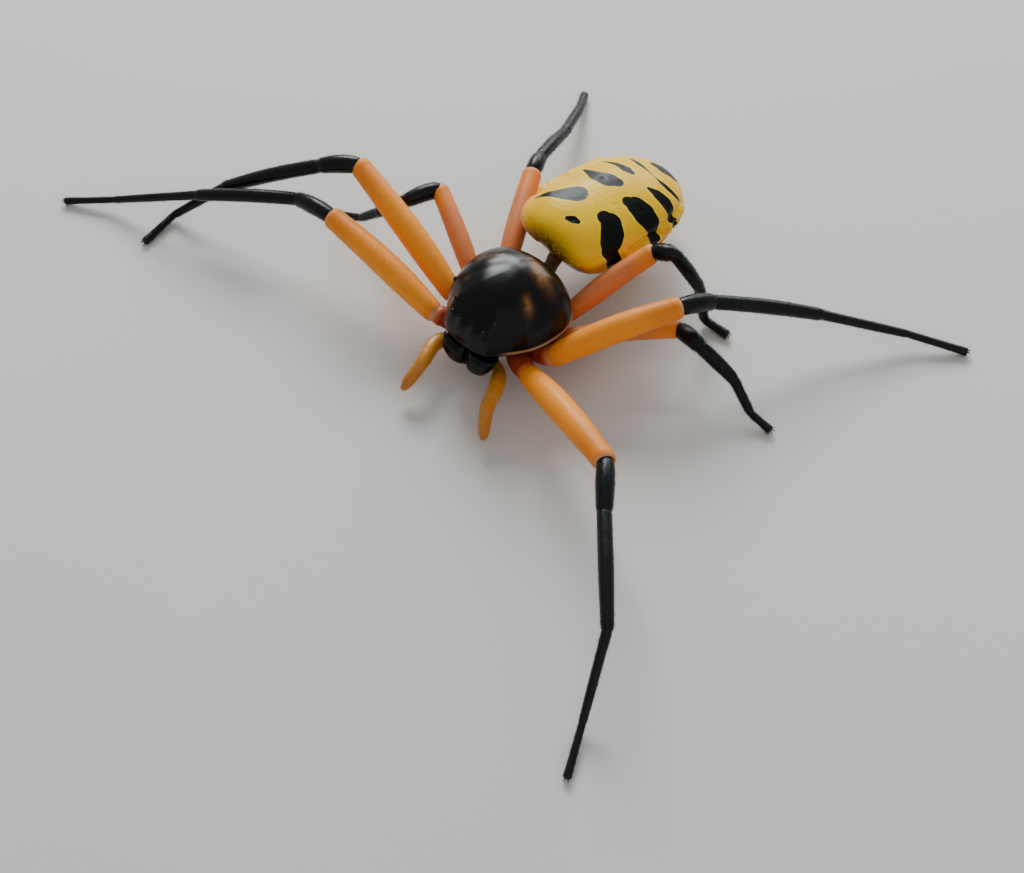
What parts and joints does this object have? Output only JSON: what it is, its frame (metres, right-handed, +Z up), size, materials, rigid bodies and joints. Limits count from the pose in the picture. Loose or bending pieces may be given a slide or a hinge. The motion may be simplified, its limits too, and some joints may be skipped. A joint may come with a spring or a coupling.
{
  "type": "giant crab spider",
  "caption": "Still, life-size giant crab spider with a glossy black carapace, orange thighs, long black leg ends and a yellow abdomen with black spots, standing on spread legs.",
  "frame": {"origin": "middle of the spider's box, at the floor", "axes": "+Z up from the floor, the spider faces -Y and its left side is +X"},
  "size_m": [0.048, 0.0376, 0.0061],
  "materials": {
    "shell_black": "glossy black chitin with a sharp sheen",
    "leg_black": "black chitin with fine hair and a bluish sheen on top",
    "femur_orange": "bright orange chitin, satin",
    "femur_rust": "reddish salmon chitin, satin",
    "coxa_rust": "red-orange chitin, satin",
    "abdomen_yellow": "waxy yellow skin with glossy black spots",
    "palp_yellow": "mustard yellow chitin with short hair",
    "spinneret_tan": "tan skin, matt"
  },
  "bodies": {
    "root": {"carapace": "shell_black", "sternum": "coxa_rust", "pedicel": "coxa_rust", "abdomen": "abdomen_yellow", "spinnerets": "spinneret_tan", "chelicera_left": "shell_black", "palp_left": "palp_yellow", "coxa_left_1": "coxa_rust", "femur_left_1": "femur_orange", "patella_left_1": "leg_black", "tibia_left_1": "leg_black", "metatarsus_left_1": "leg_black", "tarsus_left_1": "leg_black", "coxa_left_2": "coxa_rust", "femur_left_2": "femur_orange", "patella_left_2": "leg_black", "tibia_left_2": "leg_black", "metatarsus_left_2": "leg_black", "tarsus_left_2": "leg_black", "coxa_left_3": "coxa_rust", "femur_left_3": "femur_rust", "patella_left_3": "leg_black", "tibia_left_3": "leg_black", "metatarsus_left_3": "leg_black", "tarsus_left_3": "leg_black", "coxa_left_4": "coxa_rust", "femur_left_4": "femur_rust", "patella_left_4": "leg_black", "tibia_left_4": "leg_black", "metatarsus_left_4": "leg_black", "tarsus_left_4": "leg_black", "chelicera_right": "shell_black", "palp_right": "palp_yellow", "coxa_right_1": "coxa_rust", "femur_right_1": "femur_orange", "patella_right_1": "leg_black", "tibia_right_1": "leg_black", "metatarsus_right_1": "leg_black", "tarsus_right_1": "leg_black", "coxa_right_2": "coxa_rust", "femur_right_2": "femur_orange", "patella_right_2": "leg_black", "tibia_right_2": "leg_black", "metatarsus_right_2": "leg_black", "tarsus_right_2": "leg_black", "coxa_right_3": "coxa_rust", "femur_right_3": "femur_rust", "patella_right_3": "leg_black", "tibia_right_3": "leg_black", "metatarsus_right_3": "leg_black", "tarsus_right_3": "leg_black", "coxa_right_4": "coxa_rust", "femur_right_4": "femur_rust", "patella_right_4": "leg_black", "tibia_right_4": "leg_black", "metatarsus_right_4": "leg_black", "tarsus_right_4": "leg_black"}
  },
  "joints": []
}
